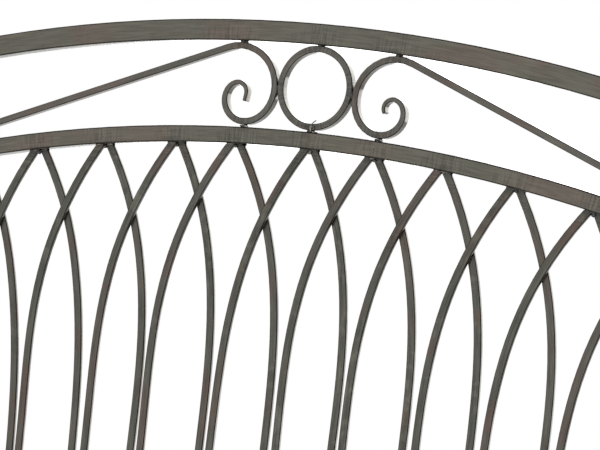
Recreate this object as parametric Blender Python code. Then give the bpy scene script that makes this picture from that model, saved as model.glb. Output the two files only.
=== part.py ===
"""Arched garden trellis panel in welded steel, built as the separate pieces it is welded up from.

The frame: +X runs to the right along the panel, +Z is up, and the panel's front looks towards -Y.
The origin is on the ground, in the middle of the panel's length and thickness. Lengths are metres.
"""

import math

import bmesh
import bpy
import numpy as np

# Driving dimensions
OVERALL_HEIGHT = 0.900
NODE_PITCH = 0.0925
BAYS_PER_SIDE = 6
POST_INSET = 0.006

TUBE_DEPTH = 0.018
TUBE_WALL = 0.0015
TOP_RAIL_HEIGHT = 0.0254
TOP_RAIL_RADIUS = 2.095
LATTICE_RAIL_HEIGHT = 0.020
LATTICE_RAIL_RADIUS = 2.000
BOTTOM_RAIL_HEIGHT = 0.020
BOTTOM_RAIL_LIFT = 0.110
POST_WIDTH = 0.0254

RING_DIAMETER = 0.100
SCROLL_BAR_THICKNESS = 0.008
SCROLL_BAR_DEPTH = 0.010
SCROLL_TIP_THICKNESS = 0.0045
SCROLL_TAPER_LENGTH = 0.070
TAIL_LIFT = 0.003

RING_SLIP_HEIGHT = 0.0020
SCROLL_TOP_SLIP_HEIGHT = 0.0015
SCROLL_BOTTOM_SLIP_HEIGHT = 0.0028
SLIP_WIDTH = 0.007
SLIP_DEPTH = 0.008

LATTICE_BAR_WIDTH = 0.010
LATTICE_BAR_THICKNESS = 0.005
BAR_HEAD_OFFSET = 0.004
BAR_PAIR_SPACING = 0.018
FOOT_CLOSING = 0.003
BAR_BEND_HEIGHT = 0.345

FOOT_LENGTH = 0.340
FOOT_WIDTH = 0.045
FOOT_THICKNESS = 0.006
PEG_HOLE_DIAMETER = 0.009
PEG_HOLE_INSET = 0.025

PLUG_HEAD_THICKNESS = 0.002
PLUG_TONGUE_LENGTH = 0.010
PLUG_TONGUE_PLAY = 0.0004

WELD_GAP = 0.0003

# How far the nodes that were set by eye stand off the even pitch, by their count from the middle node.
NODE_DRIFTS = {
    -4: -0.003,
    -3: -0.002,
    -2: 0.006,
    -1: -0.006,
    0: 0.002,
    1: -0.005,
    2: -0.007,
    3: -0.005,
    4: 0.001,
    5: 0.003,
}

# How far the hand-bent bars stray from the pattern, first at the belly and then at the foot. They are listed
# by the way they lean, -1 for left and 1 for right, and then by their node.
BAR_STRAYS = {
    -1: {
        -4: (-0.010, 0.002),
        -3: (-0.009, 0.004),
        -2: (-0.001, 0.008),
        -1: (-0.012, -0.003),
        0: (0.000, 0.002),
        1: (-0.006, 0.002),
        2: (-0.006, 0.000),
        3: (0.000, 0.004),
        4: (-0.002, 0.000),
        5: (0.001, 0.001),
    },
    1: {
        -5: (-0.008, 0.007),
        -4: (-0.006, 0.006),
        -3: (-0.005, -0.002),
        -2: (0.000, 0.003),
        -1: (-0.003, 0.001),
        1: (0.001, 0.002),
        2: (-0.003, -0.003),
        3: (0.002, -0.002),
        4: (0.003, -0.004),
        5: (0.004, 0.000),
    },
}
BELLY_DEPTH = 0.120
PLUMB_DEPTH = 0.420

# The two scrolls were bent by hand, and differ in their last turn. A scroll's bend radius at every quarter
# turn, from before its crown to its tip, is a share of its height. Its end turn is the heading of its tip.
SCROLL_BENDS = {
    "left": (0.585, 0.575, 0.487, 0.345, 0.245, 0.138, 0.108, 5.000),
    "right": (0.585, 0.575, 0.487, 0.350, 0.222, 0.130, 0.105),
}
SCROLL_END_TURN = {"left": math.radians(643.0), "right": math.radians(668.0)}

# How finely the curves are divided
RAIL_STEPS = 28
RING_STEPS = 64
SCROLL_STEPS = 46
BAR_STEPS = 24
END_ROUND_STEPS = 10
HOLE_STEPS = 20

# Places that follow from the sizes
POST_INNER = BAYS_PER_SIDE * NODE_PITCH - POST_INSET
POST_OUTER = POST_INNER + POST_WIDTH
RING_RADIUS = RING_DIAMETER / 2
RING_HEIGHT = OVERALL_HEIGHT - TOP_RAIL_HEIGHT - WELD_GAP - RING_RADIUS
LATTICE_RAIL_CROWN = RING_HEIGHT - RING_RADIUS - RING_SLIP_HEIGHT
BOTTOM_RAIL_TOP = BOTTOM_RAIL_LIFT + BOTTOM_RAIL_HEIGHT
FOOT_PITCH = NODE_PITCH - FOOT_CLOSING
BAR_REACH = FOOT_PITCH - BAR_PAIR_SPACING / 2
QUARTER_TURN = math.pi / 2

# Colours: (red, green, blue), roughness, metallic
GUNMETAL = ((0.135, 0.125, 0.108), 0.42, 0.85)
DARK_STEEL = ((0.105, 0.098, 0.088), 0.45, 0.85)
BRONZED_STEEL = ((0.125, 0.108, 0.092), 0.42, 0.85)
WELD_METAL = ((0.060, 0.055, 0.050), 0.60, 0.80)
BLACK_PLASTIC = ((0.030, 0.030, 0.030), 0.60, 0.0)


def clear_scene():
    """Empty the scene of whatever it starts with."""
    for item in list(bpy.data.objects):
        bpy.data.objects.remove(item, do_unlink=True)


def make_collection(name, hidden=False):
    """A collection under the scene's own."""
    collection = bpy.data.collections.new(name)
    bpy.context.scene.collection.children.link(collection)
    collection.hide_render = hidden
    return collection


def make_material(name, finish):
    """A Principled material from (colour, roughness, metallic)."""
    colour, roughness, metallic = finish
    material = bpy.data.materials.new(name)
    material.use_nodes = True
    shader = material.node_tree.nodes["Principled BSDF"]
    shader.inputs["Base Color"].default_value = (*colour, 1.0)
    shader.inputs["Roughness"].default_value = roughness
    shader.inputs["Metallic"].default_value = metallic
    return material


def curve_to_mesh(curve_object, collection):
    """Turn a curve object into a mesh object of the same name and place, with its caps welded on."""
    depsgraph = bpy.context.evaluated_depsgraph_get()
    mesh = bpy.data.meshes.new_from_object(curve_object.evaluated_get(depsgraph))
    name = curve_object.name
    place = curve_object.matrix_world.copy()
    bpy.data.objects.remove(curve_object, do_unlink=True)
    shape = bmesh.new()
    shape.from_mesh(mesh)
    bmesh.ops.remove_doubles(shape, verts=shape.verts, dist=0.00001)
    bmesh.ops.recalc_face_normals(shape, faces=shape.faces)
    shape.to_mesh(mesh)
    shape.free()
    result = bpy.data.objects.new(name, mesh)
    result.matrix_world = place
    collection.objects.link(result)
    return result


def plate(name, outlines, thickness, collection, upright=True, middle=0.0):
    """A flat plate cut to the outlines: the first is its edge, any others are holes in it.

    An upright plate's outlines are (x, z) pairs and its thickness is centred on y = middle. A plate that
    lies flat has (x, y) pairs and is centred on z = middle.
    """
    curve = bpy.data.curves.new(name, "CURVE")
    curve.dimensions = "2D"
    curve.fill_mode = "BOTH"
    curve.extrude = thickness / 2
    for outline in outlines:
        spline = curve.splines.new("POLY")
        spline.points.add(len(outline) - 1)
        for point, (across, along) in zip(spline.points, outline):
            point.co = (across, along, 0.0, 1.0)
        spline.use_cyclic_u = True
    item = bpy.data.objects.new(name, curve)
    if upright:
        item.rotation_euler = (QUARTER_TURN, 0.0, 0.0)
        item.location = (0.0, middle, 0.0)
    else:
        item.location = (0.0, 0.0, middle)
    collection.objects.link(item)
    bpy.context.view_layer.update()
    return curve_to_mesh(item, collection)


def combine(item, other, operation, cutters):
    """Cut the other mesh out of the item, or join it on, and keep the other as a hidden cutter."""
    for holder in list(other.users_collection):
        holder.objects.unlink(other)
    cutters.objects.link(other)
    other.hide_render = True
    other.display_type = "WIRE"
    modifier = item.modifiers.new(other.name, "BOOLEAN")
    modifier.operation = operation
    modifier.solver = "EXACT"
    modifier.object = other


def finish(item, material, angle=35.0):
    """Give the item its material and shade its round faces smooth."""
    item.data.materials.clear()
    item.data.materials.append(material)
    item.data.shade_smooth()
    item.data.set_sharp_from_angle(angle=math.radians(angle))


def arc_height(x, crown, radius):
    """The height at x of an arc whose crown is at x = 0."""
    return crown - radius + np.sqrt(radius * radius - np.square(x))


def top_rail_under(x):
    """The top rail's underside."""
    crown = OVERALL_HEIGHT - TOP_RAIL_HEIGHT
    return arc_height(x, crown, TOP_RAIL_RADIUS - TOP_RAIL_HEIGHT)


def lattice_rail_top(x):
    """The lattice rail's upper side."""
    return arc_height(x, LATTICE_RAIL_CROWN, LATTICE_RAIL_RADIUS)


def lattice_rail_under(x):
    """The lattice rail's underside."""
    crown = LATTICE_RAIL_CROWN - LATTICE_RAIL_HEIGHT
    return arc_height(x, crown, LATTICE_RAIL_RADIUS - LATTICE_RAIL_HEIGHT)


def arched_band(start, end, crown, radius, height, inset=0.0, steps=RAIL_STEPS):
    """Outline of a stretch of arched rail, from x = start to x = end, drawn in by inset at both edges."""
    across = np.linspace(start, end, steps + 1)
    upper = arc_height(across, crown - inset, radius - inset)
    lower = arc_height(across, crown - height + inset, radius - height + inset)
    return list(zip(across, upper)) + list(zip(across[::-1], lower[::-1]))


def box_outline(left, right, low, high):
    """Outline of an upright rectangle."""
    return [(left, low), (right, low), (right, high), (left, high)]


def mirrored(outline):
    """The same outline on the panel's other side."""
    return [(-across, along) for across, along in reversed(outline)]


def arched_tube(name, end, crown, radius, height, parts, cutters):
    """An arched rectangular tube with both ends open."""
    tube = plate(name, [arched_band(-end, end, crown, radius, height)], TUBE_DEPTH, parts)
    past = end + TUBE_WALL
    bore_outline = arched_band(-past, past, crown, radius, height, TUBE_WALL)
    bore = plate(name + "_bore", [bore_outline], TUBE_DEPTH - 2 * TUBE_WALL, parts)
    combine(tube, bore, "DIFFERENCE", cutters)
    return tube


def build_rails(parts, cutters, steel):
    """The arched top rail, the arched lattice rail under it, and the straight bottom rail."""
    top_end = POST_OUTER - PLUG_HEAD_THICKNESS - WELD_GAP
    top = arched_tube("top_rail", top_end, OVERALL_HEIGHT, TOP_RAIL_RADIUS, TOP_RAIL_HEIGHT, parts, cutters)
    finish(top, steel)

    between_posts = POST_INNER - WELD_GAP
    lattice = arched_tube(
        "lattice_rail",
        between_posts,
        LATTICE_RAIL_CROWN,
        LATTICE_RAIL_RADIUS,
        LATTICE_RAIL_HEIGHT,
        parts,
        cutters,
    )
    finish(lattice, steel)

    outline = box_outline(-between_posts, between_posts, BOTTOM_RAIL_LIFT, BOTTOM_RAIL_TOP)
    bottom = plate("bottom_rail", [outline], TUBE_DEPTH, parts)
    past = between_posts + TUBE_WALL
    bore_outline = box_outline(-past, past, BOTTOM_RAIL_LIFT + TUBE_WALL, BOTTOM_RAIL_TOP - TUBE_WALL)
    bore = plate("bottom_rail_bore", [bore_outline], TUBE_DEPTH - 2 * TUBE_WALL, parts)
    combine(bottom, bore, "DIFFERENCE", cutters)
    finish(bottom, steel)


def post_outline(inset, past_ends):
    """Outline of a post whose head follows the top rail's underside."""
    left = POST_INNER + inset
    right = POST_OUTER - inset
    across = np.linspace(left, right, 5)
    head = top_rail_under(across) - WELD_GAP + past_ends
    low = FOOT_THICKNESS + WELD_GAP - past_ends
    return [(right, low), *zip(across[::-1], head[::-1]), (left, low)]


def build_posts(parts, cutters, steel):
    """Two upright tubes, open at both ends, from the feet to the top rail."""
    for side, flip in (("left", True), ("right", False)):
        outline = post_outline(0.0, 0.0)
        bore_outline = post_outline(TUBE_WALL, TUBE_WALL)
        if flip:
            outline = mirrored(outline)
            bore_outline = mirrored(bore_outline)
        post = plate(side + "_post", [outline], TUBE_DEPTH, parts)
        bore = plate(side + "_post_bore", [bore_outline], TUBE_DEPTH - 2 * TUBE_WALL, parts)
        combine(post, bore, "DIFFERENCE", cutters)
        finish(post, steel)


def build_plugs(parts, cutters, plastic):
    """Push-in plugs that close the top rail's two ends."""
    head_start = POST_OUTER - PLUG_HEAD_THICKNESS
    arch = (OVERALL_HEIGHT, TOP_RAIL_RADIUS, TOP_RAIL_HEIGHT)
    inset = TUBE_WALL + PLUG_TONGUE_PLAY
    for side, flip in (("left", True), ("right", False)):
        head_outline = arched_band(head_start, POST_OUTER, *arch, steps=1)
        tongue_outline = arched_band(
            head_start - WELD_GAP - PLUG_TONGUE_LENGTH, head_start + WELD_GAP, *arch, inset=inset, steps=2
        )
        if flip:
            head_outline = mirrored(head_outline)
            tongue_outline = mirrored(tongue_outline)
        head = plate(side + "_plug", [head_outline], TUBE_DEPTH, parts)
        tongue = plate(side + "_plug_tongue", [tongue_outline], TUBE_DEPTH - 2 * inset, parts)
        combine(head, tongue, "UNION", cutters)
        finish(head, plastic)


def circle_outline(across, along, radius, steps):
    """Outline of a circle."""
    turns = [2 * math.pi * step / steps for step in range(steps)]
    return [(across + radius * math.cos(turn), along + radius * math.sin(turn)) for turn in turns]


def build_ring(parts, steel):
    """The ring between the two arched rails."""
    outer = circle_outline(0.0, RING_HEIGHT, RING_RADIUS, RING_STEPS)
    inner = circle_outline(0.0, RING_HEIGHT, RING_RADIUS - SCROLL_BAR_THICKNESS, RING_STEPS)
    ring = plate("centre_ring", [outer, inner], SCROLL_BAR_DEPTH, parts)
    finish(ring, steel)


def scroll_curl(side, slope):
    """Centreline of a side's curl from the end of its straight tail to its tip, one unit high or so.

    Both sides are drawn as the right-hand one, and the left is mirrored later. slope is the tail's angle to
    the horizontal. The curl turns left all the way, tighter and tighter.
    """
    bends = SCROLL_BENDS[side]
    headings = np.linspace(math.pi - slope, SCROLL_END_TURN[side], SCROLL_STEPS + 1)
    knots = math.pi + QUARTER_TURN * np.arange(len(bends)) - QUARTER_TURN
    radii = np.interp(headings, knots, bends)
    middle_headings = (headings[1:] + headings[:-1]) / 2
    lengths = (radii[1:] + radii[:-1]) / 2 * np.diff(headings)
    across = np.concatenate([[0.0], np.cumsum(lengths * np.cos(middle_headings))])
    along = np.concatenate([[0.0], np.cumsum(lengths * np.sin(middle_headings))])
    return np.stack([across, along], axis=1)


def fit_scroll(side):
    """Size, place and slope a side's scroll so that it fills its space, drawn as the right-hand one.

    Its crown is a slip's height under the top rail, its belly a slip's height over the lattice rail, its near
    side touches the ring, and its tail runs into the corner of post and lattice rail.
    """
    half = SCROLL_BAR_THICKNESS / 2
    tail_end = POST_INNER - WELD_GAP
    slope = math.radians(20.0)
    unit = RING_DIAMETER
    for _ in range(60):
        curl = scroll_curl(side, slope) * unit
        crown = curl[np.argmax(curl[:, 1])]
        belly = curl[np.argmin(curl[:, 1])]
        shift_across = RING_RADIUS + WELD_GAP + half - curl[:, 0].min()
        ceiling = top_rail_under(crown[0] + shift_across) - SCROLL_TOP_SLIP_HEIGHT
        floor = lattice_rail_top(belly[0] + shift_across) + SCROLL_BOTTOM_SLIP_HEIGHT
        unit *= (ceiling - floor - 2 * half) / (crown[1] - belly[1])
        shift_along = ceiling - half - crown[1]
        start = curl[0] + (shift_across, shift_along)
        run = tail_end - start[0]
        tail_low = start[1] - run * math.tan(slope) - half / math.cos(slope)
        error = tail_low - lattice_rail_top(tail_end) - TAIL_LIFT
        slope += error / run * math.cos(slope) ** 2
    return curl + (shift_across, shift_along), slope


def scroll_outline(curl, slope):
    """Outline of a scroll bar, from its tail's plumb-cut end round to its tip."""
    half = SCROLL_BAR_THICKNESS / 2
    tail_end = POST_INNER - WELD_GAP
    steps = np.diff(curl, axis=0)
    directions = np.gradient(curl, axis=0)
    directions[0] = (-math.cos(slope), math.sin(slope))
    directions /= np.linalg.norm(directions, axis=1)[:, None]
    left_hand = np.stack([-directions[:, 1], directions[:, 0]], axis=1)
    travelled = np.concatenate([[0.0], np.cumsum(np.linalg.norm(steps, axis=1))])
    to_tip = travelled[-1] - travelled
    halves = np.interp(to_tip, (0.0, SCROLL_TAPER_LENGTH), (SCROLL_TIP_THICKNESS / 2, half))
    inner = curl + left_hand * halves[:, None]
    outer = curl - left_hand * halves[:, None]
    fall = math.tan(slope)
    inner_end = (tail_end, inner[0][1] - (tail_end - inner[0][0]) * fall)
    outer_end = (tail_end, outer[0][1] - (tail_end - outer[0][0]) * fall)
    return [outer_end, *map(tuple, outer), *map(tuple, inner[::-1]), inner_end]


def slip_outline(across, low, high):
    """Outline of a packing slip between two heights, with a weld gap at both."""
    return box_outline(across - SLIP_WIDTH / 2, across + SLIP_WIDTH / 2, low + WELD_GAP, high - WELD_GAP)


def scroll_slip_outlines(curl):
    """Outlines of the packing slips on a scroll's crown and under its belly.

    The rails slope, so a slip stops at the lower end of what is over it and at the higher end of what is
    under it.
    """
    half = SCROLL_BAR_THICKNESS / 2
    reach = SLIP_WIDTH / 2
    crown = curl[np.argmax(curl[:, 1])]
    belly = curl[np.argmin(curl[:, 1])]
    crown_slip = slip_outline(crown[0], crown[1] + half, top_rail_under(crown[0] + reach))
    belly_slip = slip_outline(belly[0], lattice_rail_top(belly[0] - reach), belly[1] - half)
    return {"crown_slip": crown_slip, "belly_slip": belly_slip}


def build_scrolls(parts, steel, weld_metal):
    """The two C-scrolls, each one bar with its long straight tail, and the slips they are welded through."""
    for side, flip in (("left", True), ("right", False)):
        curl, slope = fit_scroll(side)
        outline = scroll_outline(curl, slope)
        if flip:
            outline = mirrored(outline)
        scroll = plate(side + "_scroll", [outline], SCROLL_BAR_DEPTH, parts)
        finish(scroll, steel)
        for kind, slip_edge in scroll_slip_outlines(curl).items():
            if flip:
                slip_edge = mirrored(slip_edge)
            slip = plate(f"{side}_{kind}", [slip_edge], SLIP_DEPTH, parts)
            finish(slip, weld_metal)


def build_ring_slip(parts, weld_metal):
    """The packing slip between the ring and the lattice rail."""
    outline = slip_outline(0.0, LATTICE_RAIL_CROWN, RING_HEIGHT - RING_RADIUS)
    slip = plate("ring_slip", [outline], SLIP_DEPTH, parts)
    finish(slip, weld_metal)


def bar_centre(node, way, depth):
    """The x of a lattice bar's centreline, at a depth under the rail.

    node counts the nodes from the middle. way is -1 for a bar that goes left and 1 for one that goes right.
    The bar bows out from beside its node on the rail, and is plumb from PLUMB_DEPTH down.
    """
    bow = np.clip(1 - depth / BAR_BEND_HEIGHT, 0.0, None) ** 3
    fall = np.clip((depth - BELLY_DEPTH) / (PLUMB_DEPTH - BELLY_DEPTH), 0.0, 1.0)
    eased_fall = fall * fall * (3 - 2 * fall)
    belly_stray, foot_stray = BAR_STRAYS[way].get(node, (0.0, 0.0))
    head = node * NODE_PITCH + way * BAR_HEAD_OFFSET + NODE_DRIFTS.get(node, 0.0)
    foot = node * FOOT_PITCH + way * BAR_REACH + belly_stray
    return foot + (head - foot) * bow + (foot_stray - belly_stray) * eased_fall


def bar_edge(node, way, offset):
    """One long edge of a lattice bar, from the rail's underside to the bottom rail.

    offset is the edge's distance to the right of the bar's centreline.
    """
    start = lattice_rail_under(node * NODE_PITCH)
    over_rail = 2 * LATTICE_BAR_WIDTH
    lowest = max(BAR_BEND_HEIGHT, PLUMB_DEPTH)
    depths = np.linspace(-over_rail, lowest, 3 * BAR_STEPS + 1)
    centres = bar_centre(node, way, depths)
    slopes = np.gradient(centres, depths[1] - depths[0])
    lengths = np.sqrt(1 + slopes * slopes)
    across = centres + offset / lengths
    heights = start - depths + offset * slopes / lengths
    across = np.clip(across, -POST_INNER + WELD_GAP, POST_INNER - WELD_GAP)

    room = lattice_rail_under(across) - WELD_GAP - heights
    first = int(np.argmax(room > 0))
    share = room[first] / (room[first] - room[first - 1])
    head_across = across[first] + share * (across[first - 1] - across[first])
    head = (head_across, lattice_rail_under(head_across) - WELD_GAP)
    kept = range(first + 1, len(depths), 3)
    edge = [head, *((across[index], heights[index]) for index in kept)]
    return [*edge, (across[-1], BOTTOM_RAIL_TOP + WELD_GAP)]


def build_lattice(parts, steel, bronzed):
    """The lattice bars: left-going bars in the front layer, right-going bars in the back layer."""
    half = LATTICE_BAR_WIDTH / 2
    layer = (LATTICE_BAR_THICKNESS + WELD_GAP) / 2
    layers = (("front_bar", -1, -layer, steel, 1), ("back_bar", 1, layer, bronzed, 0))
    for name, way, middle, material, first_node in layers:
        for count in range(2 * BAYS_PER_SIDE):
            node = count + first_node - BAYS_PER_SIDE
            outline = bar_edge(node, way, half) + bar_edge(node, way, -half)[::-1]
            bar = plate(f"{name}_{count + 1:02d}", [outline], LATTICE_BAR_THICKNESS, parts, middle=middle)
            finish(bar, material)


def build_feet(parts, steel):
    """Flat bars across the lower ends of the posts, with round ends and a peg hole near each."""
    centre = (POST_INNER + POST_OUTER) / 2
    end_radius = FOOT_WIDTH / 2
    straight = FOOT_LENGTH / 2 - end_radius
    hole_place = FOOT_LENGTH / 2 - PEG_HOLE_INSET
    for side, across in (("left", -centre), ("right", centre)):
        edge = []
        for end in (1, -1):
            for step in range(END_ROUND_STEPS + 1):
                turn = math.pi * step / END_ROUND_STEPS
                along = end * (straight + end_radius * math.sin(turn))
                edge.append((across + end * end_radius * math.cos(turn), along))
        radius = PEG_HOLE_DIAMETER / 2
        holes = [circle_outline(across, end * hole_place, radius, HOLE_STEPS) for end in (1, -1)]
        middle = FOOT_THICKNESS / 2
        foot = plate(side + "_foot", [edge, *holes], FOOT_THICKNESS, parts, upright=False, middle=middle)
        finish(foot, steel)


def main():
    """Build every piece of the panel."""
    clear_scene()
    parts = make_collection("metal_trellis_arch")
    cutters = make_collection("cutters", hidden=True)
    gunmetal = make_material("gunmetal", GUNMETAL)
    dark_steel = make_material("dark_steel", DARK_STEEL)
    bronzed_steel = make_material("bronzed_steel", BRONZED_STEEL)
    weld_metal = make_material("weld_metal", WELD_METAL)
    black_plastic = make_material("black_plastic", BLACK_PLASTIC)

    build_rails(parts, cutters, gunmetal)
    build_posts(parts, cutters, gunmetal)
    build_plugs(parts, cutters, black_plastic)
    build_ring(parts, bronzed_steel)
    build_ring_slip(parts, weld_metal)
    build_scrolls(parts, bronzed_steel, weld_metal)
    build_lattice(parts, dark_steel, bronzed_steel)
    build_feet(parts, gunmetal)


main()
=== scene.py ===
"""Looks of the arched garden trellis panel: weld metal, finishes, floor, light and camera around the model.

Lengths are metres. The frame is the loaded model's own: +X runs to the right along the panel, +Z is up and
the panel's front looks towards -Y.
"""

import logging
import math
import random
from collections.abc import Sequence
from dataclasses import dataclass, field
from enum import Enum

import bpy
import numpy as np
from mathutils import Matrix, Vector


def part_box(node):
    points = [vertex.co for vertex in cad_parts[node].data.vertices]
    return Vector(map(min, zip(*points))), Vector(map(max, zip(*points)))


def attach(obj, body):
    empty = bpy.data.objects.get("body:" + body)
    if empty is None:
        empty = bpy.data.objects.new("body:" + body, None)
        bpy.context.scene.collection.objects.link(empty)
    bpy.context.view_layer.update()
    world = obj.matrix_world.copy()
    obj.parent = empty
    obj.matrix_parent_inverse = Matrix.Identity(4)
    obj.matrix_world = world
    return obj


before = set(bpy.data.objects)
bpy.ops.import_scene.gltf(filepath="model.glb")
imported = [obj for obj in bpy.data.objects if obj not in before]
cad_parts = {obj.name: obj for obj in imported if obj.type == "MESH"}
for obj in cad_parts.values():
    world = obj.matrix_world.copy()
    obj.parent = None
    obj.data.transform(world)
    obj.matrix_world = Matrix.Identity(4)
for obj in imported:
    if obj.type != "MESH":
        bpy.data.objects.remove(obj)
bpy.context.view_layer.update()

BODY = "root"
LOG = logging.getLogger("trellis_panel")

# Two places nearer than this are the same one.
SAME_PLACE = 0.0001
# How far a bead's line stands off the face that it is laid against, or off a face under it.
BEAD_STANDOFF = 0.0006
FOOT_STANDOFF = 0.0004

Colour = tuple[float, float, float]


class Layer(Enum):
    """The two layers of lattice bars, by how the names of their nodes begin."""

    FRONT = "front_bar"
    BACK = "back_bar"


class Slot(Enum):
    """The material slots that the added pieces take their finish from."""

    WELD = "weld_metal"


# ---------- node graphs


class Wire:
    """A number, colour or vector that leaves a node, with arithmetic on numbers that adds Math nodes."""

    def __init__(self, bench: "Bench", socket: bpy.types.NodeSocket) -> None:
        """Keep the socket and the bench that its tree is built on."""
        self.bench = bench
        self.socket = socket

    def __add__(self, other: "Wire | float") -> "Wire":
        """This plus the other."""
        return self.bench.math("ADD", self, other)

    def __radd__(self, other: float) -> "Wire":
        """The number plus this."""
        return self.bench.math("ADD", other, self)

    def __sub__(self, other: "Wire | float") -> "Wire":
        """This less the other."""
        return self.bench.math("SUBTRACT", self, other)

    def __rsub__(self, other: float) -> "Wire":
        """The number less this."""
        return self.bench.math("SUBTRACT", other, self)

    def __mul__(self, other: "Wire | float") -> "Wire":
        """This times the other."""
        return self.bench.math("MULTIPLY", self, other)

    def __abs__(self) -> "Wire":
        """This without its sign."""
        return self.bench.math("ABSOLUTE", self)

    def root(self) -> "Wire":
        """The square root."""
        return self.bench.math("SQRT", self)

    def turn_from(self, upright: "Wire") -> "Wire":
        """The angle, in radians, from straight up to the direction (this, upright)."""
        return self.bench.math("ARCTAN2", self, upright)

    def or_more(self, other: "Wire") -> "Wire":
        """The larger of the two."""
        return self.bench.math("MAXIMUM", self, other)

    def step(self, low: float, high: float) -> "Wire":
        """A smooth step.

        Args:
            low: where the step is 0.
            high: where the step is 1. It may be below low, which turns the step round.

        Returns:
            The step's height, from 0 to 1.
        """
        if low < high:
            return self.bench.smooth_step(self, low, high)
        return 1 - self.bench.smooth_step(self, high, low)


class Bench:
    """One node tree, and the only place where its nodes are made."""

    def __init__(self, tree: bpy.types.NodeTree) -> None:
        """Empty the tree and keep it."""
        self.tree = tree
        self.tree.nodes.clear()

    def node(self, kind: str, settings: dict | None = None, inputs: dict | None = None) -> bpy.types.Node:
        """Add a node.

        Args:
            kind: the node's type name.
            settings: values of its properties, set first. "stops" are a ramp's (place, colour) pairs.
            inputs: a value or a Wire for each socket that isn't left alone, by name or by number.

        Returns:
            The node.
        """
        item = self.tree.nodes.new(kind)
        for name, value in (settings or {}).items():
            if name == "stops":
                elements = item.color_ramp.elements
                while len(elements) < len(value):
                    elements.new(0.5)
                for element, (place, colour) in zip(elements, value):
                    element.position = place
                    element.color = (*colour, 1.0)
            else:
                setattr(item, name, value)
        for key, value in (inputs or {}).items():
            socket = item.inputs[key]
            if isinstance(value, Wire):
                self.tree.links.new(value.socket, socket)
            elif socket.type == "RGBA":
                socket.default_value = (*value, 1.0)
            else:
                socket.default_value = value
        return item

    def wire(self, item: bpy.types.Node, output: str | int = 0) -> Wire:
        """One output of a node as a Wire."""
        return Wire(self, item.outputs[output])

    def math(self, operation: str, first: Wire | float, second: Wire | float = 0.0) -> Wire:
        """The result of a Math node."""
        return self.wire(self.node("ShaderNodeMath", {"operation": operation}, {0: first, 1: second}))

    def smooth_step(self, value: Wire, low: float, high: float) -> Wire:
        """A smooth step from 0 at low to 1 at high, with low below high."""
        settings = {"interpolation_type": "SMOOTHSTEP"}
        return self.wire(self.node("ShaderNodeMapRange", settings, {0: value, 1: low, 2: high}))

    def vector(self, x: Wire | float, y: Wire | float, z: Wire | float) -> Wire:
        """A vector from its three parts."""
        return self.wire(self.node("ShaderNodeCombineXYZ", None, {0: x, 1: y, 2: z}))

    def parts(self, vector: Wire) -> tuple[Wire, Wire, Wire]:
        """The three parts of a vector."""
        item = self.node("ShaderNodeSeparateXYZ", None, {0: vector})
        return self.wire(item, 0), self.wire(item, 1), self.wire(item, 2)

    def place(self) -> Wire:
        """The place on the object, in metres from the frame's origin."""
        return self.wire(self.node("ShaderNodeTexCoord"), "Object")

    def noise(self, vector: Wire, scale: float, detail: float, w: Wire | float) -> Wire:
        """Soft noise from 0 to 1.

        Args:
            vector: the place it is read at.
            scale: cells to the metre, or to the unit of the vector.
            detail: how many finer layers it has.
            w: the place along the fourth axis, which also tells pieces apart.

        Returns:
            The noise, stretched so that it uses most of the range from 0 to 1.
        """
        inputs = {"Vector": vector, "Scale": scale, "Detail": detail, "W": w}
        item = self.node("ShaderNodeTexNoise", {"noise_dimensions": "4D"}, inputs)
        return self.smooth_step(self.wire(item, 0), 0.28, 0.72)

    def blend(self, share: Wire | float, first: Wire | Colour, second: Wire | Colour) -> Wire:
        """A mix of two colours: the first where share is 0, the second where it is 1."""
        item = self.node("ShaderNodeMix", {"data_type": "RGBA"}, {0: share, 6: first, 7: second})
        return self.wire(item, 2)

    def scaled(self, colour: Wire, share: Wire) -> Wire:
        """A colour made lighter or darker."""
        return self.wire(self.node("ShaderNodeVectorMath", {"operation": "SCALE"}, {0: colour, 3: share}))

    def relief(self, strength: float, depth: float, height: Wire) -> Wire:
        """The normal of a surface that stands depth metres high where height is 1."""
        inputs = {"Strength": strength, "Distance": depth, "Height": height}
        return self.wire(self.node("ShaderNodeBump", None, inputs))

    def shade(self, inputs: dict) -> None:
        """End the material in a Principled shader with these inputs."""
        shader = self.node("ShaderNodeBsdfPrincipled", None, inputs)
        self.node("ShaderNodeOutputMaterial", None, {0: self.wire(shader)})


def new_material(name: str) -> tuple[bpy.types.Material, Bench]:
    """An empty material and the bench for its nodes."""
    material = bpy.data.materials.new(name)
    material.use_nodes = True
    return material, Bench(material.node_tree)


# ---------- grains


@dataclass(frozen=True)
class Arch:
    """An arc in the panel's plane whose crown is at x = 0."""

    crown: float
    radius: float

    def height(self, x: float) -> float:
        """The arc's height at x."""
        return self.crown - self.radius + math.sqrt(self.radius**2 - x**2)

    def lowered(self, drop: float) -> "Arch":
        """The arc a drop further in, with the same centre."""
        return Arch(self.crown - drop, self.radius - drop)

    def grain(self) -> "RoundGrain":
        """How a rail that follows the arc was brushed."""
        return RoundGrain((0.0, self.crown - self.radius), self.radius)


class Grain:
    """How a piece was brushed."""

    def lay(self, x: Wire, z: Wire) -> tuple[Wire, Wire]:
        """Where a point lies on the piece.

        Args:
            x: the point's place along the panel.
            z: its height.

        Returns:
            The distances along the piece and across it.
        """
        raise NotImplementedError


@dataclass(frozen=True)
class LevelGrain(Grain):
    """Brushed along X."""

    def lay(self, x: Wire, z: Wire) -> tuple[Wire, Wire]:
        """Along is x and across is z."""
        return x, z


@dataclass(frozen=True)
class UprightGrain(Grain):
    """Brushed along Z."""

    def lay(self, x: Wire, z: Wire) -> tuple[Wire, Wire]:
        """Along is z and across is x."""
        return z, x


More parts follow.
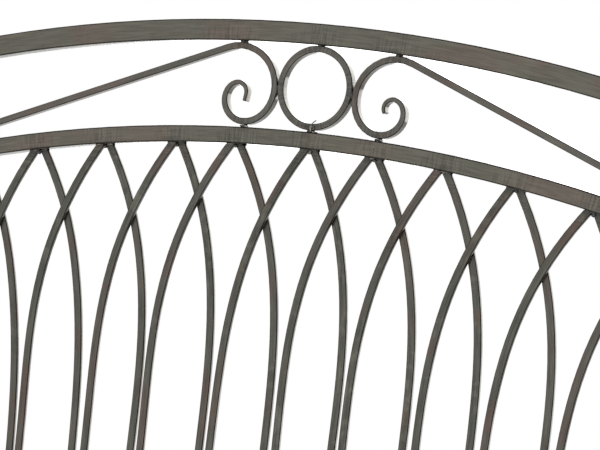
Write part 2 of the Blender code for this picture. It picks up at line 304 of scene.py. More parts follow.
@dataclass(frozen=True)
class RoundGrain(Grain):
    """Brushed round a ring or along an arched rail."""

    centre: tuple[float, float]
    radius: float

    def lay(self, x: Wire, z: Wire) -> tuple[Wire, Wire]:
        """Along is the way round from the top and across is the distance from the centre."""
        out = x - self.centre[0]
        rise = z - self.centre[1]
        return out.turn_from(rise) * self.radius, (out * out + rise * rise).root()


@dataclass(frozen=True)
class ScrollGrain(Grain):
    """Brushed round a curl and then straight down its tail."""

    side: int
    eye: tuple[float, float]
    tail_start: float
    tail_fall: float
    blend_width: float = 0.008

    def lay(self, x: Wire, z: Wire) -> tuple[Wire, Wire]:
        """Along is the distance out from the middle, and across follows the curl and then the tail."""
        out = x * self.side
        run = out - self.eye[0]
        rise = z - self.eye[1]
        round_eye = (run * run + rise * rise).root()
        over_tail = z * math.cos(self.tail_fall) + out * math.sin(self.tail_fall)
        tail = out.step(self.tail_start, self.tail_start + self.blend_width)
        return out, tail * over_tail + (1 - tail) * round_eye


@dataclass(frozen=True)
class BowGrain(Grain):
    """Brushed down a lattice bar, whose centreline is a power series in the height."""

    middle: float
    terms: tuple[float, ...]

    def lay(self, x: Wire, z: Wire) -> tuple[Wire, Wire]:
        """Along is z and across is the distance from the bar's own centreline."""
        height = z - self.middle
        centre = height * self.terms[0] + self.terms[1]
        for term in self.terms[2:]:
            centre = centre * height + term
        return z, x - centre


# ---------- finishes


@dataclass(frozen=True)
class SteelFinish:
    """Brushed and lacquered steel, browned in patches, ground across near its welds, with painted shade on
    its rounded edges.
    """

    base: Colour
    pale: Colour
    bronze: Colour
    rust: Colour
    dark: Colour
    bronze_share: float = 0.45
    pale_share: float = 0.35
    rust_share: float = 0.12
    # How much painted shade darkens the colour on the rounded edges.
    edge_painted_shade: float = 0.72
    streak_contrast: float = 0.34
    score_contrast: float = 0.30
    cross_contrast: float = 0.55
    patch_contrast: float = 0.20
    roughness: float = 0.36
    drawn_roughness: float = 0.17
    metallic: float = 0.85
    coat: float = 0.5
    coat_roughness: float = 0.12
    brush_depth: float = 0.00002
    patch_scale: float = 7.0
    tint_scale: float = 19.0
    smudge_scale: float = 70.0
    streak_scale: float = 1300.0
    score_scale: float = 420.0
    stroke_scale: float = 520.0

    def make(self, name: str, grain: Grain, seed: float, welds: Sequence[Vector] = ()) -> bpy.types.Material:
        """Make the material of one piece.

        Args:
            name: the material's name.
            grain: how the piece was brushed.
            seed: what tells this piece's patches from another's.
            welds: the places of the welds that it was ground at.

        Returns:
            The material.
        """
        material, bench = new_material(name)
        place = bench.place()
        x, y, z = bench.parts(place)
        along, across = grain.lay(x, z)
        _, facing, _ = bench.parts(bench.wire(bench.node("ShaderNodeNewGeometry"), "Normal"))
        facing = abs(facing)
        flat = facing.step(0.15, 0.6)

        patches = bench.noise(place, self.patch_scale, 2.0, seed)
        tints = bench.noise(place, self.tint_scale, 3.0, seed + 11.3)
        smudges = bench.noise(place, self.smudge_scale, 3.0, seed + 27.9)
        fine = bench.vector(x * 38.0, z * 38.0, across * self.streak_scale)
        streaks = bench.noise(fine, 1.0, 2.0, y * 900.0 + seed)
        coarse = bench.vector(x * 30.0, z * 30.0, across * self.score_scale)
        scores = bench.noise(coarse, 1.0, 2.0, y * self.score_scale + seed)
        crossing = bench.vector(across * 45.0, y * 90.0, along * self.stroke_scale)
        strokes = bench.noise(crossing, 1.0, 2.0, seed)

        edge_of_tints = 1 - self.bronze_share
        browned = (patches * 0.6 + tints * 0.4).step(edge_of_tints - 0.1, edge_of_tints + 0.3)
        paled = (patches * 0.5 + smudges * 0.5).step(self.pale_share - 0.05, self.pale_share - 0.3)
        rusted = (tints * 0.6 + scores * 0.4).step(1 - self.rust_share - 0.16, 1 - self.rust_share + 0.1)
        colour = bench.blend(browned, self.base, self.bronze)
        colour = bench.blend(paled * 0.7, colour, self.pale)
        colour = bench.blend(rusted * 0.55, colour, self.rust)

        ground = tints.step(0.8, 0.98) * 0.5
        if welds:
            near, stained = self.near_welds(bench, place, welds, smudges)
            ground = ground.or_more(near)
            colour = bench.blend(stained * 0.45, colour, self.dark)
        marks = (streaks - 0.5) * self.streak_contrast + (scores - 0.5) * self.score_contrast
        marks = marks + (smudges - 0.5) * 0.10 + (strokes - 0.6) * ground * self.cross_contrast
        marks = marks + (patches - 0.5) * self.patch_contrast
        # Painted shade: the colour darkens on the rounded edges, where the normal turns from the face towards
        # the side.
        edge = facing.step(0.998, 0.95) * facing.step(0.08, 0.40)
        tone = (1 + marks) * (1 - edge * self.edge_painted_shade)
        colour = bench.scaled(colour, tone)

        brushed = self.roughness - self.drawn_roughness - 0.08
        rough = self.drawn_roughness + (streaks * 0.08 + smudges * 0.08 + browned * 0.05 + brushed) * flat
        height = (streaks * 0.55 + scores * 0.9 + strokes * ground * 0.8 + smudges * 0.5) * flat
        inputs = {
            "Base Color": colour,
            "Roughness": rough,
            "Metallic": self.metallic,
            "Coat Weight": (1 - edge) * self.coat,
            "Coat Roughness": self.coat_roughness,
            "Normal": bench.relief(0.4, self.brush_depth, height),
        }
        bench.shade(inputs)
        return material

    def near_welds(
        self, bench: Bench, place: Wire, welds: Sequence[Vector], smudges: Wire
    ) -> tuple[Wire, Wire]:
        """Where the steel is marked by its welds.

        Args:
            bench: the material's bench.
            place: the place on the piece.
            welds: the welds' places.
            smudges: noise that frays the marks' edges.

        Returns:
            How far the surface is ground across, and how far it is stained, from 0 to 1.
        """
        ground = None
        stained = None
        for weld in welds:
            away = bench.node("ShaderNodeVectorMath", {"operation": "DISTANCE"}, {0: place, 1: weld})
            frayed = bench.wire(away, "Value") + (smudges - 0.5) * 0.014
            wide = frayed.step(0.040, 0.014)
            close = frayed.step(0.013, 0.003)
            ground = wide if ground is None else ground.or_more(wide)
            stained = close if stained is None else stained.or_more(close)
        return ground, stained


@dataclass(frozen=True)
class WeldFinish:
    """Rippled weld metal under the lacquer, dark with straw and blue heat colours."""

    dark: Colour = (0.050, 0.047, 0.043)
    straw: Colour = (0.200, 0.180, 0.155)
    blue: Colour = (0.110, 0.114, 0.120)
    roughness: float = 0.34
    metallic: float = 0.8

    def make(self, name: str, seed: float) -> bpy.types.Material:
        """Make the material of one run of weld metal.

        Args:
            name: the material's name.
            seed: what tells it from another.

        Returns:
            The material.
        """
        material, bench = new_material(name)
        place = bench.place()
        heat = bench.noise(place, 110.0, 2.0, seed)
        grit = bench.noise(place, 900.0, 3.0, seed + 3.1)
        pits = bench.noise(place, 2600.0, 2.0, seed + 7.7)
        colour = bench.blend(heat.step(0.35, 0.9), self.dark, self.straw)
        colour = bench.blend(heat.step(0.4, 0.1) * 0.6, colour, self.blue)
        colour = bench.scaled(colour, 0.65 + grit * 0.7)
        rough = self.roughness - 0.12 + grit * 0.3
        inputs = {
            "Base Color": colour,
            "Roughness": rough,
            "Metallic": self.metallic,
            "Coat Weight": 0.3,
            "Coat Roughness": 0.25,
            "Normal": bench.relief(0.6, 0.00012, grit + pits * 0.5),
        }
        bench.shade(inputs)
        return material


@dataclass(frozen=True)
class PlasticFinish:
    """Black moulded plastic with a spark-eroded surface and scuffed edges."""

    black: Colour = (0.012, 0.012, 0.013)
    scuffed: Colour = (0.055, 0.054, 0.052)
    roughness: float = 0.5

    def make(self, name: str, seed: float) -> bpy.types.Material:
        """Make the material of one moulding.

        Args:
            name: the material's name.
            seed: what tells it from another.

        Returns:
            The material.
        """
        material, bench = new_material(name)
        place = bench.place()
        grit = bench.noise(place, 2400.0, 2.0, seed)
        scuffs = bench.noise(place, 260.0, 4.0, seed + 5.0)
        colour = bench.blend(scuffs.step(0.62, 0.95), self.black, self.scuffed)
        colour = bench.scaled(colour, 0.85 + grit * 0.3)
        rough = self.roughness - 0.05 + scuffs * 0.2
        normal = bench.relief(0.5, 0.00005, grit + scuffs * 0.4)
        bench.shade({"Base Color": colour, "Roughness": rough, "Normal": normal})
        return material


RAIL_STEEL = SteelFinish(
    base=(0.128, 0.122, 0.096),
    pale=(0.160, 0.154, 0.126),
    bronze=(0.136, 0.112, 0.091),
    rust=(0.140, 0.100, 0.082),
    dark=(0.045, 0.042, 0.037),
)
SCROLL_STEEL = SteelFinish(
    base=(0.116, 0.109, 0.092),
    pale=(0.160, 0.152, 0.129),
    bronze=(0.126, 0.102, 0.086),
    rust=(0.126, 0.086, 0.070),
    dark=(0.034, 0.032, 0.029),
    bronze_share=0.5,
    rust_share=0.2,
    edge_painted_shade=0.8,
)
LATTICE_STEEL = SteelFinish(
    base=(0.092, 0.090, 0.074),
    pale=(0.160, 0.155, 0.124),
    bronze=(0.098, 0.080, 0.066),
    rust=(0.104, 0.064, 0.050),
    dark=(0.032, 0.030, 0.028),
    pale_share=0.42,
    rust_share=0.25,
    edge_painted_shade=0.8,
    score_contrast=0.5,
    patch_contrast=0.3,
)
WELD_METAL = WeldFinish()
WELD_WIRE = WeldFinish(
    dark=(0.10, 0.095, 0.09),
    straw=(0.42, 0.40, 0.36),
    blue=(0.34, 0.34, 0.33),
    roughness=0.26,
)
MOULDED_BLACK = PlasticFinish()


# ---------- mesh pieces


@dataclass
class Bead:
    """One run of weld metal: a rippled ridge along a line, with rounded ends or closed into a loop."""

    line: list[Vector]
    radius: float
    out: Vector
    closed: bool = False
    sides: int = 10
    spacing: float = 0.0006
    ripple_pitch: float = 0.0016

    def stations(self) -> tuple[np.ndarray, float]:
        """Points at even distances along the line.

        Returns:
            The points, and the line's whole length.
        """
        points = [np.array(point) for point in self.line]
        if self.closed:
            points.append(points[0])
        points = np.array(points)
        reach = np.concatenate([[0.0], np.cumsum(np.linalg.norm(np.diff(points, axis=0), axis=1))])
        count = max(6, int(reach[-1] / self.spacing))
        places = np.linspace(0.0, reach[-1], count, endpoint=not self.closed)
        even = np.stack([np.interp(places, reach, points[:, axis]) for axis in range(3)], axis=1)
        return even, reach[-1]

    def mesh(self, rng: random.Random) -> tuple[list[tuple[float, float, float]], list[tuple[int, ...]]]:
        """The bead's points and faces.

        Args:
            rng: what makes one bead differ from the next.

        Returns:
            The points, and the faces as tuples of point numbers.
        """
        centres, length = self.stations()
        count = len(centres)
        if self.closed:
            ahead = np.roll(centres, -1, axis=0) - np.roll(centres, 1, axis=0)
        else:
            ahead = np.gradient(centres, axis=0)
        ahead /= np.linalg.norm(ahead, axis=1)[:, None]
        phases = [rng.uniform(0.0, math.tau) for _ in range(3)]
        points = []
        for index in range(count):
            share = index / count if self.closed else index / (count - 1)
            travelled = share * length
            wave = 0.10 * math.sin(travelled / 0.0041 + phases[0])
            wave += 0.08 * math.sin(travelled / 0.0023 + phases[1])
            ripple = 0.07 * abs(math.sin(math.pi * travelled / self.ripple_pitch + phases[2]))
            taper = 1.0 if self.closed else math.sqrt(max(0.0, 1 - (2 * share - 1) ** 6))
            radius = self.radius * (0.92 + wave + ripple) * taper
            tangent = Vector(ahead[index])
            outward = (self.out - tangent * self.out.dot(tangent)).normalized()
            beside = tangent.cross(outward)
            for side in range(self.sides):
                turn = math.tau * side / self.sides
                lump = 1 + rng.uniform(-0.05, 0.05)
                lag = -0.35 * self.radius * max(0.0, math.cos(turn)) * (0.0 if taper < 0.5 else 1.0)
                offset = (outward * math.cos(turn) + beside * math.sin(turn)) * radius * lump
                points.append(Vector(centres[index]) + offset + tangent * lag)
        faces = []
        last = count if self.closed else count - 1
        for index in range(last):
            here = index * self.sides
            there = (index + 1) % count * self.sides
            for side in range(self.sides):
                after = (side + 1) % self.sides
                faces.append((here + side, there + side, there + after, here + after))
        if not self.closed:
            faces.extend(self.caps(points, centres))
        return [tuple(point) for point in points], faces

    def caps(self, points: list[Vector], centres: np.ndarray) -> list[tuple[int, ...]]:
        """Close both ends with fans, and add their middle points to points."""
        faces = []
        last = (len(centres) - 1) * self.sides
        for start, middle, flip in ((0, centres[0], False), (last, centres[-1], True)):
            hub = len(points)
            points.append(Vector(middle))
            for side in range(self.sides):
                near, far = start + side, start + (side + 1) % self.sides
                faces.append((hub, far, near) if flip else (hub, near, far))
        return faces


def add_object(name: str, data: bpy.types.ID) -> bpy.types.Object:
    """A new object in the scene that shows the data."""
    item = bpy.data.objects.new(name, data)
    bpy.context.scene.collection.objects.link(item)
    return item


def mesh_object(name: str, points: list, faces: list) -> bpy.types.Object:
    """A smooth-shaded mesh object in the scene.

    Args:
        name: the object's name.
        points: its points.
        faces: its faces, as tuples of point numbers.

    Returns:
        The object.
    """
    mesh = bpy.data.meshes.new(name)
    mesh.from_pydata(points, [], faces)
    mesh.validate()
    mesh.shade_smooth()
    return add_object(name, mesh)


def bead_group(name: str, beads: Sequence[Bead], seed: int) -> bpy.types.Object:
    """One object that holds several beads.

    Args:
        name: the object's name.
        beads: the beads.
        seed: the seed of their ripples.

    Returns:
        The object.
    """
    rng = random.Random(seed)
    points: list = []
    faces: list = []
    for bead in beads:
        bead_points, bead_faces = bead.mesh(rng)
        start = len(points)
        points.extend(bead_points)
        faces.extend(tuple(start + number for number in face) for face in bead_faces)
    item = mesh_object(name, points, faces)
    if signed_volume(item.data) < 0:
        item.data.flip_normals()
    return item


def signed_volume(mesh: bpy.types.Mesh) -> float:
    """Six times the volume inside the mesh, below 0 where its faces point inwards."""
    total = 0.0
    for polygon in mesh.polygons:
        corners = [mesh.vertices[number].co for number in polygon.vertices]
        for second, third in zip(corners[1:], corners[2:]):
            total += corners[0].dot(second.cross(third))
    return total


def hand_over(piece: bpy.types.Object, slot: Slot, material: bpy.types.Material) -> None:
    """Give a piece its material and put it on the panel's one body.

    Args:
        piece: the piece.
        slot: the record's slot that its finish belongs to.
        material: its material.
    """
    piece.data.materials.append(material)
    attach(piece, BODY)
    LOG.info("piece %s: %s", piece.name, slot.value)


def dress(name: str, material: bpy.types.Material, edge: float, segments: int = 2) -> None:
    """Give a node of the loaded model its material and its rounded edges.

    Args:
        name: the node's name.
        material: its material.
        edge: the radius of its edges.
        segments: how many faces round each edge.
    """
    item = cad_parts[name]
    for material_slot in item.material_slots:
        material_slot.material = material
    weld = item.modifiers.new("weld_seams", "WELD")
    weld.merge_threshold = 0.00001
    flats = item.modifiers.new("whole_faces", "DECIMATE")
    flats.decimate_type = "DISSOLVE"
    flats.angle_limit = math.radians(0.3)
    bevel = item.modifiers.new("eased_edges", "BEVEL")
    bevel.width = edge
    bevel.segments = segments
    bevel.limit_method = "ANGLE"
    bevel.angle_limit = math.radians(40.0)
    bevel.use_clamp_overlap = False
    normals = item.modifiers.new("even_shading", "WEIGHTED_NORMAL")
    normals.keep_sharp = False
    LOG.info("node %s: %s", name, material.name)


# ---------- sub-assemblies


# A bar's head is cut on a slant, and the whole cut lies this near to its top.
HEAD_CUT = 0.0035
BOW_DEGREE = 6


@dataclass
class BarEnds:
    """Where a lattice bar's head meets the lattice rail and its foot meets the bottom rail."""

    name: str
    head: Vector
    foot: Vector
    front: float
    back: float
    grain: BowGrain

    @classmethod
    def of(cls, name: str) -> "BarEnds":
        """Read the ends off the loaded node.

        Args:
            name: the bar's node.

        Returns:
            Its ends.
        """
        corners = np.array([point.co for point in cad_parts[name].data.vertices])
        low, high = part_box(name)
        head = corners[corners[:, 2] > high.z - HEAD_CUT].mean(axis=0)
        foot = corners[corners[:, 2] < low.z + SAME_PLACE].mean(axis=0)
        middle = (low.z + high.z) / 2
        terms = np.polyfit(corners[:, 2] - middle, corners[:, 0], BOW_DEGREE)
        grain = BowGrain(middle, tuple(float(term) for term in terms))
        return cls(name, Vector((head[0], head[1], high.z)), Vector(foot), low.y, high.y, grain)


@dataclass
class Frame:
    """The two posts, the three rails, the feet and the top rail's end plugs."""

    top_radius: float = 2.095
    top_height: float = 0.0254
    lattice_radius: float = 2.000
    rail_height: float = 0.020
    edge: float = 0.0020
    foot_edge: float = 0.0008
    plug_edge: float = 0.0005
    seam: float = 0.0014

    def __post_init__(self) -> None:
        """Read the places of the arches off the loaded rails."""
        self.top = Arch(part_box("top_rail")[1].z, self.top_radius)
        self.lattice = Arch(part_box("lattice_rail")[1].z, self.lattice_radius)
        self.lattice_under = self.lattice.lowered(self.rail_height)
        self.top_under = self.top.lowered(self.top_height)

    def dress(self, joints: Sequence[Vector]) -> None:
        """Finish the rails, posts, feet and plugs.

        Args:
            joints: the places where something is welded to the rails.
        """
        on_top = [joint for joint in joints if joint.z > self.lattice.height(joint.x) + 0.02]
        on_lattice = [joint for joint in joints if joint not in on_top]
        top = RAIL_STEEL.make("top_rail_steel", self.top.grain(), 1.0, on_top)
        dress("top_rail", top, self.edge, 3)
        lattice = RAIL_STEEL.make("lattice_rail_steel", self.lattice.grain(), 2.0, on_lattice)
        dress("lattice_rail", lattice, self.edge, 3)
        dress("bottom_rail", RAIL_STEEL.make("bottom_rail_steel", LevelGrain(), 3.0), self.edge, 3)
        for count, side in enumerate(("left", "right")):
            low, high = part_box(side + "_post")
            middle = (low.x + high.x) / 2
            corners = [Vector((middle, 0.0, low.z)), Vector((middle, 0.0, high.z))]
            post = RAIL_STEEL.make(side + "_post_steel", UprightGrain(), 4.0 + count, corners)
            dress(side + "_post", post, self.edge, 3)
            foot = RAIL_STEEL.make(side + "_foot_steel", LevelGrain(), 6.0 + count, corners[:1])
            dress(side + "_foot", foot, self.foot_edge)
            dress(side + "_plug", MOULDED_BLACK.make(side + "_plug_black", 8.0 + count), self.plug_edge)

    def collar(self, low: Vector, high: Vector, side: int, arch: Arch | None) -> Bead:
        """The fillet weld round a rail's end, against the face of a post.

        Args:
            low: the rail's lowest corner there.
            high: its highest corner there.
            side: -1 at the left post and 1 at the right post.
            arch: the rail's upper arc, or nothing for a straight rail.

        Returns:
            The weld.
        """
        at = (high.x if side > 0 else low.x) - side * BEAD_STANDOFF
        rise = arch.height(at) - high.z if arch else 0.0
        top = high.z + rise
        bottom = top - (high.z - low.z)
        outline = ((low.y, bottom), (high.y, bottom), (high.y, top), (low.y, top))
        corners = [Vector((at, y, z)) for y, z in outline]
        return Bead(round_corners(corners), self.seam, Vector((-side, 0.0, 0.0)), True)

    def build(self) -> None:
        """Build the welds that hold the frame together."""
        beads = []
        for side in (-1, 1):
            post_low, post_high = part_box(("left" if side < 0 else "right") + "_post")
            for rail, arch in (("lattice_rail", self.lattice), ("bottom_rail", None)):
                low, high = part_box(rail)
                low = Vector((low.x, low.y, high.z - self.rail_height))
                beads.append(self.collar(low, high, side, arch))
            near, far = post_low.y, post_high.y
            outline = ((post_low.x, near), (post_high.x, near), (post_high.x, far), (post_low.x, far))
            at_foot = [Vector((x, y, post_low.z + FOOT_STANDOFF)) for x, y in outline]
            at_top = [Vector((x, y, self.top_under.height(x) - BEAD_STANDOFF)) for x, y in outline]
            for corners, facing in ((at_foot, 1.0), (at_top, -1.0)):
                beads.append(Bead(round_corners(corners), self.seam, Vector((0.0, 0.0, facing)), True))
        welds = bead_group("frame_welds", beads, 11)
        hand_over(welds, Slot.WELD, WELD_METAL.make("frame_weld_metal", 21.0))


def round_corners(corners: Sequence[Vector], rounds: int = 2) -> list[Vector]:
    """The closed line through the corners with its corners cut off again and again."""
    points = list(corners)
    for _ in range(rounds):
        cut = []
        for here, after in zip(points, points[1:] + points[:1]):
            reach = min(0.2, 0.0025 / max((after - here).length, 0.0001))
            cut.append(here.lerp(after, reach))
            cut.append(here.lerp(after, 1 - reach))
        points = cut
    return points


@dataclass
class Lattice:
    """The bars in their two layers, and their welds."""

    rail: Arch
    bays_per_side: int = 6
    edge: float = 0.0011
    weld_radius: float = 0.0011

    def __post_init__(self) -> None:
        """Read the bars' ends off the loaded nodes."""
        self.bars = {}
        for layer in Layer:
            for count in range(1, 2 * self.bays_per_side + 1):
                self.bars[layer, count] = BarEnds.of(f"{layer.value}_{count:02d}")

    def dress(self) -> None:
        """Finish each bar, brushed down its own bow."""
        for number, ends in enumerate(self.bars.values()):
            welds = [ends.head, ends.foot]
            steel = LATTICE_STEEL.make(ends.name + "_steel", ends.grain, 30.0 + 2.7 * number, welds)
            dress(ends.name, steel, self.edge)

    def nodes(self) -> list[tuple[BarEnds | None, BarEnds | None]]:
        """The left-going and the right-going bar at each node, from the left."""
        pairs = []
        for node in range(2 * self.bays_per_side + 1):
            pairs.append((self.bars.get((Layer.FRONT, node)), self.bars.get((Layer.BACK, node + 1))))
        return pairs

    def head_places(self) -> list[Vector]:
        """The middle of each node's weld."""
        places = []
        for pair in self.nodes():
            heads = [ends.head for ends in pair if ends]
            places.append(sum(heads, Vector()) / len(heads))
        return places

    def build(self) -> None:
        """Build the welds at the bars' heads and feet."""
        head_beads = []
        foot_beads = []
        rng = random.Random(5)
        for pair in self.nodes():
            for ends in pair:
                if ends:
                    head_beads.extend(self.end_beads(ends, ends.head, True, rng))
                    foot_beads.extend(self.end_beads(ends, ends.foot, False, rng))
            if all(pair):
                head_beads.append(self.web(pair, rng))
        heads = bead_group("head_welds", head_beads, 12)
        hand_over(heads, Slot.WELD, WELD_METAL.make("head_weld_metal", 22.0))
        feet = bead_group("foot_welds", foot_beads, 13)
        hand_over(feet, Slot.WELD, WELD_METAL.make("foot_weld_metal", 23.0))

    def end_beads(self, ends: BarEnds, end: Vector, at_head: bool, rng: random.Random) -> list[Bead]:
        """The beads in front of and behind one end of a bar.

        Args:
            ends: the bar.
            end: which of its ends.
            at_head: whether the end meets the lattice rail and not the bottom rail.
            rng: what makes one differ from the next.

        Returns:
            The two beads.
        """
        beads = []
        lean = -0.8 if at_head else 0.8
        for face, facing in ((ends.front, -1.0), (ends.back, 1.0)):
            reach = rng.uniform(0.0055, 0.0075)
            shift = rng.uniform(-0.001, 0.001)
            line = []
            for step in range(5):
                x = end.x + shift + reach * (step / 2 - 1)
                z = self.rail.height(x) - BEAD_STANDOFF if at_head else end.z + FOOT_STANDOFF
                line.append(Vector((x, face, z)))
            radius = self.weld_radius * rng.uniform(0.85, 1.2)
            beads.append(Bead(line, radius, Vector((0.0, facing, lean)).normalized()))
        return beads

    def web(self, pair: tuple[BarEnds, BarEnds], rng: random.Random) -> Bead:
        """The lump of weld metal that fills the crotch between a node's two bars.

        Args:
            pair: the node's two bars.
            rng: what makes one differ from the next.

        Returns:
            The lump.
        """
        middle = (pair[0].head.x + pair[1].head.x) / 2
        top = self.rail.height(middle) - 0.0002
        depth = rng.uniform(0.0035, 0.006)
        end = Vector((middle + rng.uniform(-0.0008, 0.0008), 0.0, top - depth))
        line = [Vector((middle, 0.0, top)), end]
        return Bead(line, rng.uniform(0.0026, 0.0034), Vector((0.0, -1.0, 0.0)))


@dataclass
class Crest:
    """The ring and the two scrolls between the arched rails."""

    edge: float = 0.0011
    weld_radius: float = 0.0016
    tail_start: float = 0.124
    tail_fall: float = math.radians(20.67)
    tail_lap: float = 0.0004

    def __post_init__(self) -> None:
        """Read the ring's place and the slips' places off the loaded nodes."""
        low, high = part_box("centre_ring")
        self.centre = (low + high) / 2
        self.radius = (high.x - low.x) / 2
        self.slips = {}
        scroll_slips = ("left_crown_slip", "right_crown_slip", "left_belly_slip", "right_belly_slip")
        for name in ("ring_slip", *scroll_slips):
            low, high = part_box(name)
            self.slips[name] = (low + high) / 2

    def weld_places(self) -> list[Vector]:
        """The middle of each of the crest's welds to the rails."""
        top = Vector((self.centre.x, 0.0, self.centre.z + self.radius))
        return [top, *self.slips.values()]

    def dress(self) -> None:
        """Finish the ring, the scrolls and their slips."""
        sides = [self.centre + Vector((side * self.radius, 0.0, 0.0)) for side in (-1, 1)]
        ring_welds = [self.weld_places()[0], self.slips["ring_slip"], *sides]
        ring_grain = RoundGrain((self.centre.x, self.centre.z), self.radius)
        dress("centre_ring", SCROLL_STEEL.make("ring_steel", ring_grain, 14.0, ring_welds), self.edge)
        for side, name in ((-1, "left"), (1, "right")):
            crown, belly = self.slips[name + "_crown_slip"], self.slips[name + "_belly_slip"]
            eye = (abs(crown.x + belly.x) / 2, (crown.z + belly.z) / 2)
            grain = ScrollGrain(side, eye, self.tail_start, self.tail_fall)
            low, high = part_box(name + "_scroll")
            tail_end = Vector(((low if side < 0 else high).x, 0.0, low.z))
            welds = [crown, belly, sides[0 if side < 0 else 1], tail_end]
            steel = SCROLL_STEEL.make(name + "_scroll_steel", grain, 15.0 + side, welds)
            dress(name + "_scroll", steel, self.edge)
        for count, name in enumerate(self.slips):
            dress(name, WELD_METAL.make(name + "_metal", 50.0 + count), 0.0002)

    def build(self) -> None:
        """Build the crest's welds, with the beads at the scrolls' tails."""
        rng = random.Random(8)
        beads = []
        for place in self.weld_places():
            for facing in (-1.0, 1.0):
                reach = rng.uniform(0.0024, 0.0036)
                line = []
                for step in (-1, 0, 1):
                    line.append(place + Vector((reach * step, facing * 0.0038, -0.0003 * abs(step))))
                radius = self.weld_radius * rng.uniform(0.9, 1.15)
                beads.append(Bead(line, radius, Vector((0.0, facing, 0.0))))
        for side in (-1, 1):
            touch = self.centre + Vector((side * self.radius, 0.0, rng.uniform(-0.006, -0.003)))
            for facing in (-1.0, 1.0):
                half = rng.uniform(0.004, 0.0055)
                line = [touch + Vector((0.0, facing * 0.0045, rise)) for rise in (half, -half)]
                beads.append(Bead(line, 0.0013, Vector((0.0, facing, 0.0))))
            beads.extend(self.tail_beads(side))
        welds = bead_group("crest_welds", beads, 14)
        hand_over(welds, Slot.WELD, WELD_METAL.make("crest_weld_metal", 24.0))

    def tail_beads(self, side: int) -> list[Bead]:
        """The beads over and under a scroll's tail, against the post.

        Args:
            side: -1 at the left and 1 at the right.

        Returns:
            The two beads.
        """
        name = "left" if side < 0 else "right"
        low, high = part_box(name + "_scroll")
        end = low.x if side < 0 else high.x
        corners = np.array([point.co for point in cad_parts[name + "_scroll"].data.vertices])
        at_end = corners[np.abs(corners[:, 0] - end) < SAME_PLACE]
        beads = []
        for z, facing in ((at_end[:, 2].max(), 1.0), (at_end[:, 2].min(), -1.0)):
            across = (low.y - self.tail_lap, 0.0, high.y + self.tail_lap)
            line = [Vector((end - side * BEAD_STANDOFF, y, z)) for y in across]
            beads.append(Bead(line, 0.0014, Vector((-side, 0.0, facing)).normalized()))
        return beads


@dataclass
class Spatter:
    """Droplets of weld metal on the rails' faces near the welds."""

    places: Sequence[Vector]
    rail_face: float
    drops_per_weld: int = 5
    spread: float = 0.012

    def build(self) -> None:
        """Build the droplets as one piece."""
        rng = random.Random(17)
        points: list = []
        faces: list = []
        for place in self.places:
            for _ in range(rng.randint(self.drops_per_weld - 3, self.drops_per_weld + 1)):
                facing = rng.choice((-1, -1, 1))
                x = place.x + rng.gauss(0.0, self.spread / 2)
                z = place.z + rng.uniform(0.002, 0.010)
                centre = Vector((x, facing * self.rail_face, z))
                add_drop(points, faces, centre, rng.uniform(0.0003, 0.0007), rng)
        drops = mesh_object("weld_spatter", points, faces)
        hand_over(drops, Slot.WELD, WELD_METAL.make("spatter_metal", 25.0))


def add_drop(points: list, faces: list, centre: Vector, radius: float, rng: random.Random) -> None:
    """Add a small flattened ball to the lists of points and faces.

    Args:
        points: the points so far.
        faces: the faces so far.
        centre: the ball's centre.
        radius: its radius.
        rng: what makes one ball differ from the next.
    """
    rows, columns = 5, 8
    start = len(points)
    squeeze = rng.uniform(0.6, 0.9)
    points.append(centre + Vector((0.0, 0.0, radius)))
    for row in range(1, rows):
        polar = math.pi * row / rows
        for column in range(columns):
            turn = math.tau * column / columns
            across = radius * math.sin(polar)
            flattened = across * math.sin(turn) * squeeze
            offset = Vector((across * math.cos(turn), flattened, radius * math.cos(polar)))
            points.append(centre + offset)
    points.append(centre - Vector((0.0, 0.0, radius)))
    last = len(points) - 1
    for column in range(columns):
        after = (column + 1) % columns
        faces.append((start, start + 1 + column, start + 1 + after))
        for row in range(rows - 2):
            upper = start + 1 + row * columns
            lower = upper + columns
            faces.append((upper + column, lower + column, lower + after, upper + after))
        bottom = start + 1 + (rows - 2) * columns
        faces.append((bottom + column, last, bottom + after))


@dataclass
class Whiskers:
    """Ends of welding wire left standing at a weld."""

    name: str
    root: Vector
    strands: Sequence[Sequence[tuple[float, float, float]]]
    gauge: float = 0.0006

    def build(self, seed: float) -> None:
        """Build the strands as one curve turned into a mesh.

        Args:
            seed: what tells its material from another's.
        """
        curve = bpy.data.curves.new(self.name, "CURVE")
        curve.dimensions = "3D"
        curve.bevel_depth = self.gauge
        curve.bevel_resolution = 2
        curve.use_fill_caps = True
        curve.resolution_u = 6
        for strand in self.strands:
            spline = curve.splines.new("NURBS")
            spline.points.add(len(strand) - 1)
            for point, offset in zip(spline.points, strand):
                point.co = (*(self.root + Vector(offset)), 1.0)
            spline.order_u = 4
            spline.use_endpoint_u = True
        holder = add_object(self.name + "_curve", curve)
        depsgraph = bpy.context.evaluated_depsgraph_get()
        mesh = bpy.data.meshes.new_from_object(holder.evaluated_get(depsgraph))
        bpy.data.objects.remove(holder, do_unlink=True)
        mesh.shade_smooth()
        mesh.materials.clear()
        hand_over(add_object(self.name, mesh), Slot.WELD, WELD_WIRE.make(self.name + "_metal", seed))


# ---------- studio


@dataclass(frozen=True)
class Softbox:
    """A rectangular lamp that lights what is under it, and is neither seen nor mirrored."""

    name: str
    place: Vector
    aim: Vector
    width: float
    height: float
    radiance: float

    def build(self) -> None:
        """Hang the lamp. Its power follows from its size and its radiance."""
        lamp = bpy.data.lights.new(self.name, "AREA")
        lamp.shape = "RECTANGLE"
        lamp.size = self.width
        lamp.size_y = self.height
        lamp.energy = math.pi * self.width * self.height * self.radiance
        item = add_object(self.name, lamp)
        item.location = self.place
        item.rotation_euler = (self.aim - self.place).to_track_quat("-Z", "Y").to_euler()
        item.visible_camera = False
        item.visible_glossy = False


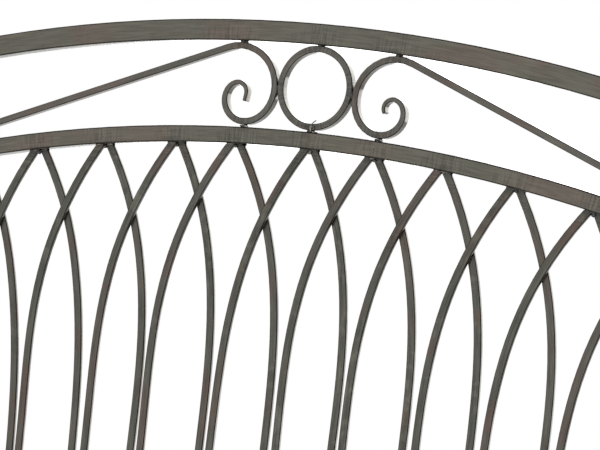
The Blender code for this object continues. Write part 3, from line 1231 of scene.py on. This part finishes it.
@dataclass
class Studio:
    """The floor, the light and the camera."""

    target: Vector = field(default_factory=lambda: Vector((0.0018, 0.0, 0.6634)))
    distance: float = 3.8577
    azimuth: float = math.radians(29.29)
    elevation: float = math.radians(-0.92)
    roll: float = math.radians(7.44)
    lens: float = 198.0
    floor_radius: float = 4.9
    ambient: float = 0.95
    side_ambient: float = 0.16
    rear_glow: float = 2.5

    def build_camera(self) -> None:
        """Place the camera round the target."""
        across = Vector((math.cos(self.azimuth), math.sin(self.azimuth), 0.0))
        level = math.cos(self.elevation)
        towards = Vector(
            (math.sin(self.azimuth) * level, -math.cos(self.azimuth) * level, math.sin(self.elevation))
        )
        upright = towards.cross(across)
        right = across * math.cos(self.roll) + upright * math.sin(self.roll)
        up = upright * math.cos(self.roll) - across * math.sin(self.roll)
        data = bpy.data.cameras.new("camera")
        data.lens = self.lens
        camera = add_object("camera", data)
        turn = Matrix((right, up, towards)).transposed().to_4x4()
        camera.matrix_world = Matrix.Translation(self.target + towards * self.distance) @ turn
        bpy.context.scene.camera = camera

    def build_floor(self) -> None:
        """Lay the round pale floor."""
        count = 96
        points = []
        for number in range(count):
            turn = math.tau * number / count
            points.append((self.floor_radius * math.cos(turn), self.floor_radius * math.sin(turn), 0.0))
        floor = mesh_object("floor", points, [tuple(range(count))])
        material, bench = new_material("pale_floor")
        place = bench.place()
        mottle = bench.noise(place, 3.0, 3.0, 1.0)
        colour = bench.blend(mottle, (0.80, 0.80, 0.79), (0.84, 0.84, 0.83))
        bench.shade({"Base Color": colour, "Roughness": 0.85})
        floor.data.materials.append(material)

    def build_world(self) -> None:
        """Light the scene from all round, darker at both sides, before a white backdrop."""
        world = bpy.data.worlds.new("studio")
        world.use_nodes = True
        bpy.context.scene.world = world
        bench = Bench(world.node_tree)
        direction = bench.wire(bench.node("ShaderNodeTexCoord"), "Generated")
        sideways, rearwards, upwards = bench.parts(direction)
        share = abs(sideways).step(0.60, 0.92).or_more(upwards.step(0.45, 0.85))
        strength = self.ambient - share * (self.ambient - self.side_ambient)
        halo = rearwards.step(0.76, 0.87) * rearwards.step(0.98, 0.90)
        strength = strength + halo * self.rear_glow
        seen = bench.wire(bench.node("ShaderNodeLightPath"), "Is Camera Ray")
        strength = strength * (1 - seen) + seen
        inputs = {"Color": (1.0, 1.0, 1.0), "Strength": strength}
        background = bench.node("ShaderNodeBackground", None, inputs)
        bench.node("ShaderNodeOutputWorld", None, {0: bench.wire(background)})

    def build_lights(self) -> None:
        """Hang the softbox over the panel."""
        Softbox("overhead", Vector((0.0, -0.4, 4.2)), Vector((0.0, -0.1, 0.0)), 6.0, 6.0, 2.0).build()

    def build(self) -> None:
        """Build everything that isn't part of the panel."""
        self.build_camera()
        self.build_floor()
        self.build_world()
        self.build_lights()
        bpy.context.scene.view_settings.view_transform = "Standard"


def main() -> None:
    """Build and dress every sub-assembly, then the studio."""
    logging.basicConfig(level=logging.INFO, format="%(name)s: %(message)s")
    panel = Frame()
    lattice = Lattice(panel.lattice_under)
    crest = Crest()
    panel.dress(lattice.head_places() + crest.weld_places())
    lattice.dress()
    crest.dress()
    panel.build()
    lattice.build()
    crest.build()
    rail_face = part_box("lattice_rail")[1].y
    Spatter(lattice.head_places(), rail_face).build()
    foot_of_ring = crest.slips["ring_slip"] + Vector((0.0, -0.0055, 0.0))
    Whiskers(
        "ring_whiskers",
        foot_of_ring,
        (
            ((0.002, 0.001, 0.0), (0.0005, -0.001, 0.005), (0.003, -0.002, 0.009), (0.0085, 0.0, 0.0135)),
            ((0.003, 0.001, 0.0), (0.002, -0.002, 0.006), (0.006, -0.002, 0.008), (0.007, 0.0, 0.004)),
            ((0.007, 0.001, 0.004), (0.0075, -0.002, 0.0), (0.010, -0.002, -0.001), (0.012, 0.0, -0.0005)),
        ),
    ).build(61.0)
    Studio().build()


if __name__ == "__main__":
    main()
